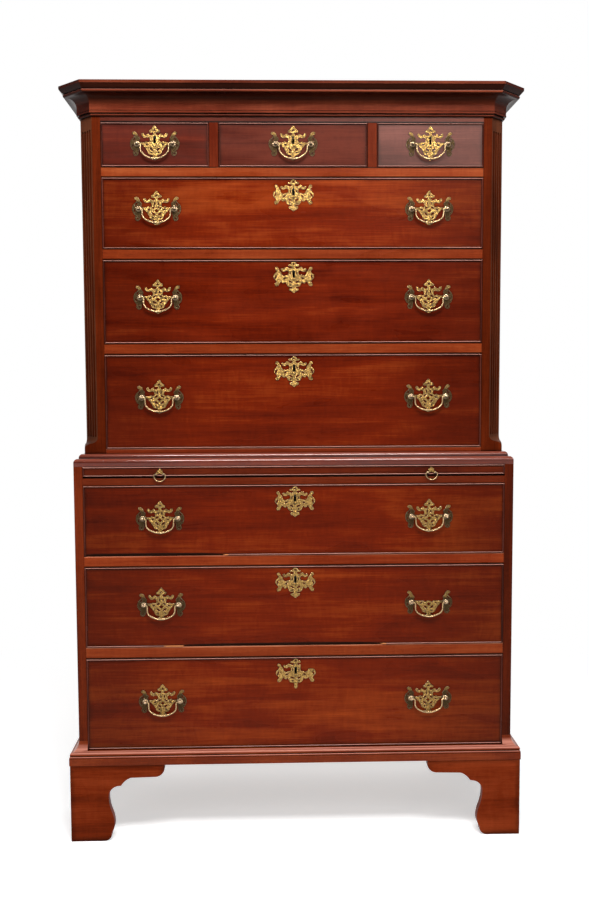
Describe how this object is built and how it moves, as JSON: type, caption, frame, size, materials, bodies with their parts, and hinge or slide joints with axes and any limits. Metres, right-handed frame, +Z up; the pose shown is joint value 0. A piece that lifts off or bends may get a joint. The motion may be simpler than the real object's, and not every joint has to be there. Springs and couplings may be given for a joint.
{
  "type": "chest on chest",
  "caption": "Two-stage mahogany chest of drawers with canted fluted corners, a brushing slide, moulded cornice, bracket feet and pierced brass pulls.",
  "frame": {"origin": "on the floor, under the middle of the outer box", "axes": "+X to the viewer's right as it is faced, +Y from the front to the back, +Z up"},
  "size_m": [1.117, 0.5734, 1.831],
  "materials": {
    "mahogany": "old polished mahogany, red-brown, satin to gloss",
    "oak": "unpolished oak drawer linings, dry and matte",
    "pine": "unpolished pine, aged brown, matte",
    "brass": "old lacquered brass, tarnished at the edges"
  },
  "bodies": {
    "carcass": {"upper_sides": "mahogany", "upper_inner_boards": "pine", "upper_back": "pine", "upper_rails": "mahogany", "canted_corners": "mahogany", "cornice": "mahogany", "lower_sides": "mahogany", "lower_inner_boards": "pine", "lower_back": "pine", "lower_rails": "mahogany", "waist_moulding": "mahogany", "base_moulding": "mahogany", "front_feet": "mahogany", "rear_feet": "mahogany"},
    "top_left_drawer": {"top_left_drawer_front": "mahogany", "top_left_drawer_box": "oak", "top_left_drawer_brass": "brass"},
    "top_left_bail_pull": {"top_left_bail": "brass"},
    "top_middle_drawer": {"top_middle_drawer_front": "mahogany", "top_middle_drawer_box": "oak", "top_middle_drawer_brass": "brass"},
    "top_middle_bail_pull": {"top_middle_bail": "brass"},
    "top_right_drawer": {"top_right_drawer_front": "mahogany", "top_right_drawer_box": "oak", "top_right_drawer_brass": "brass"},
    "top_right_bail_pull": {"top_right_bail": "brass"},
    "upper_first_drawer": {"upper_first_drawer_front": "mahogany", "upper_first_drawer_box": "oak", "upper_first_drawer_brass": "brass"},
    "upper_first_bail_left_pull": {"upper_first_bail_left": "brass"},
    "upper_first_bail_right_pull": {"upper_first_bail_right": "brass"},
    "upper_second_drawer": {"upper_second_drawer_front": "mahogany", "upper_second_drawer_box": "oak", "upper_second_drawer_brass": "brass"},
    "upper_second_bail_left_pull": {"upper_second_bail_left": "brass"},
    "upper_second_bail_right_pull": {"upper_second_bail_right": "brass"},
    "upper_third_drawer": {"upper_third_drawer_front": "mahogany", "upper_third_drawer_box": "oak", "upper_third_drawer_brass": "brass"},
    "upper_third_bail_left_pull": {"upper_third_bail_left": "brass"},
    "upper_third_bail_right_pull": {"upper_third_bail_right": "brass"},
    "lower_first_drawer": {"lower_first_drawer_front": "mahogany", "lower_first_drawer_box": "oak", "lower_first_drawer_brass": "brass"},
    "lower_first_bail_left_pull": {"lower_first_bail_left": "brass"},
    "lower_first_bail_right_pull": {"lower_first_bail_right": "brass"},
    "lower_second_drawer": {"lower_second_drawer_front": "mahogany", "lower_second_drawer_box": "oak", "lower_second_drawer_brass": "brass"},
    "lower_second_bail_left_pull": {"lower_second_bail_left": "brass"},
    "lower_second_bail_right_pull": {"lower_second_bail_right": "brass"},
    "lower_third_drawer": {"lower_third_drawer_front": "mahogany", "lower_third_drawer_box": "oak", "lower_third_drawer_brass": "brass"},
    "lower_third_bail_left_pull": {"lower_third_bail_left": "brass"},
    "lower_third_bail_right_pull": {"lower_third_bail_right": "brass"},
    "brushing_slide": {"slide_board": "mahogany", "slide_fittings": "brass"},
    "slide_bail_left_pull": {"slide_bail_left": "brass"},
    "slide_bail_right_pull": {"slide_bail_right": "brass"}
  },
  "joints": [
    {"name": "top_left_drawer_slide", "type": "slide", "parent": "carcass", "child": "top_left_drawer", "axis": [0, -1, 0], "range_m": [0, 0.38]},
    {"name": "top_left_bail_hinge", "type": "hinge", "parent": "top_left_drawer", "child": "top_left_bail_pull", "pos_m": [-0.33, -0.24875, 1.69475], "axis": [-1, 0, 0], "range_deg": [-5, 165]},
    {"name": "top_middle_drawer_slide", "type": "slide", "parent": "carcass", "child": "top_middle_drawer", "axis": [0, -1, 0], "range_m": [0, 0.38]},
    {"name": "top_middle_bail_hinge", "type": "hinge", "parent": "top_middle_drawer", "child": "top_middle_bail_pull", "pos_m": [0, -0.24875, 1.69475], "axis": [-1, 0, 0], "range_deg": [-5, 165]},
    {"name": "top_right_drawer_slide", "type": "slide", "parent": "carcass", "child": "top_right_drawer", "axis": [0, -1, 0], "range_m": [0, 0.38]},
    {"name": "top_right_bail_hinge", "type": "hinge", "parent": "top_right_drawer", "child": "top_right_bail_pull", "pos_m": [0.33, -0.24875, 1.69475], "axis": [-1, 0, 0], "range_deg": [-5, 165]},
    {"name": "upper_first_drawer_slide", "type": "slide", "parent": "carcass", "child": "upper_first_drawer", "axis": [0, -1, 0], "range_m": [0, 0.38]},
    {"name": "upper_first_bail_left_hinge", "type": "hinge", "parent": "upper_first_drawer", "child": "upper_first_bail_left_pull", "pos_m": [-0.328, -0.24875, 1.542], "axis": [-1, 0, 0], "range_deg": [-5, 165]},
    {"name": "upper_first_bail_right_hinge", "type": "hinge", "parent": "upper_first_drawer", "child": "upper_first_bail_right_pull", "pos_m": [0.328, -0.24875, 1.542], "axis": [-1, 0, 0], "range_deg": [-5, 165]},
    {"name": "upper_second_drawer_slide", "type": "slide", "parent": "carcass", "child": "upper_second_drawer", "axis": [0, -1, 0], "range_m": [0, 0.38]},
    {"name": "upper_second_bail_left_hinge", "type": "hinge", "parent": "upper_second_drawer", "child": "upper_second_bail_left_pull", "pos_m": [-0.328, -0.24875, 1.33125], "axis": [-1, 0, 0], "range_deg": [-5, 165]},
    {"name": "upper_second_bail_right_hinge", "type": "hinge", "parent": "upper_second_drawer", "child": "upper_second_bail_right_pull", "pos_m": [0.328, -0.24875, 1.33125], "axis": [-1, 0, 0], "range_deg": [-5, 165]},
    {"name": "upper_third_drawer_slide", "type": "slide", "parent": "carcass", "child": "upper_third_drawer", "axis": [0, -1, 0], "range_m": [0, 0.38]},
    {"name": "upper_third_bail_left_hinge", "type": "hinge", "parent": "upper_third_drawer", "child": "upper_third_bail_left_pull", "pos_m": [-0.328, -0.24875, 1.09025], "axis": [-1, 0, 0], "range_deg": [-5, 165]},
    {"name": "upper_third_bail_right_hinge", "type": "hinge", "parent": "upper_third_drawer", "child": "upper_third_bail_right_pull", "pos_m": [0.328, -0.24875, 1.09025], "axis": [-1, 0, 0], "range_deg": [-5, 165]},
    {"name": "lower_first_drawer_slide", "type": "slide", "parent": "carcass", "child": "lower_first_drawer", "axis": [0, -1, 0], "range_m": [0, 0.38]},
    {"name": "lower_first_bail_left_hinge", "type": "hinge", "parent": "lower_first_drawer", "child": "lower_first_bail_left_pull", "pos_m": [-0.328, -0.27275, 0.79725], "axis": [-1, 0, 0], "range_deg": [-5, 165]},
    {"name": "lower_first_bail_right_hinge", "type": "hinge", "parent": "lower_first_drawer", "child": "lower_first_bail_right_pull", "pos_m": [0.328, -0.27275, 0.79725], "axis": [-1, 0, 0], "range_deg": [-5, 165]},
    {"name": "lower_second_drawer_slide", "type": "slide", "parent": "carcass", "child": "lower_second_drawer", "axis": [0, -1, 0], "range_m": [0, 0.38]},
    {"name": "lower_second_bail_left_hinge", "type": "hinge", "parent": "lower_second_drawer", "child": "lower_second_bail_left_pull", "pos_m": [-0.328, -0.27275, 0.5845], "axis": [-1, 0, 0], "range_deg": [-5, 165]},
    {"name": "lower_second_bail_right_hinge", "type": "hinge", "parent": "lower_second_drawer", "child": "lower_second_bail_right_pull", "pos_m": [0.328, -0.27275, 0.5845], "axis": [-1, 0, 0], "range_deg": [-5, 165]},
    {"name": "lower_third_drawer_slide", "type": "slide", "parent": "carcass", "child": "lower_third_drawer", "axis": [0, -1, 0], "range_m": [0, 0.38]},
    {"name": "lower_third_bail_left_hinge", "type": "hinge", "parent": "lower_third_drawer", "child": "lower_third_bail_left_pull", "pos_m": [-0.328, -0.27275, 0.3435], "axis": [-1, 0, 0], "range_deg": [-5, 165]},
    {"name": "lower_third_bail_right_hinge", "type": "hinge", "parent": "lower_third_drawer", "child": "lower_third_bail_right_pull", "pos_m": [0.328, -0.27275, 0.3435], "axis": [-1, 0, 0], "range_deg": [-5, 165]},
    {"name": "brushing_slide_pull", "type": "slide", "parent": "carcass", "child": "brushing_slide", "axis": [0, -1, 0], "range_m": [0, 0.3]},
    {"name": "slide_bail_left_hinge", "type": "hinge", "parent": "brushing_slide", "child": "slide_bail_left_pull", "pos_m": [-0.327, -0.26925, 0.9059], "axis": [-1, 0, 0], "range_deg": [0, 150]},
    {"name": "slide_bail_right_hinge", "type": "hinge", "parent": "brushing_slide", "child": "slide_bail_right_pull", "pos_m": [0.333, -0.26925, 0.9059], "axis": [-1, 0, 0], "range_deg": [0, 150]}
  ]
}
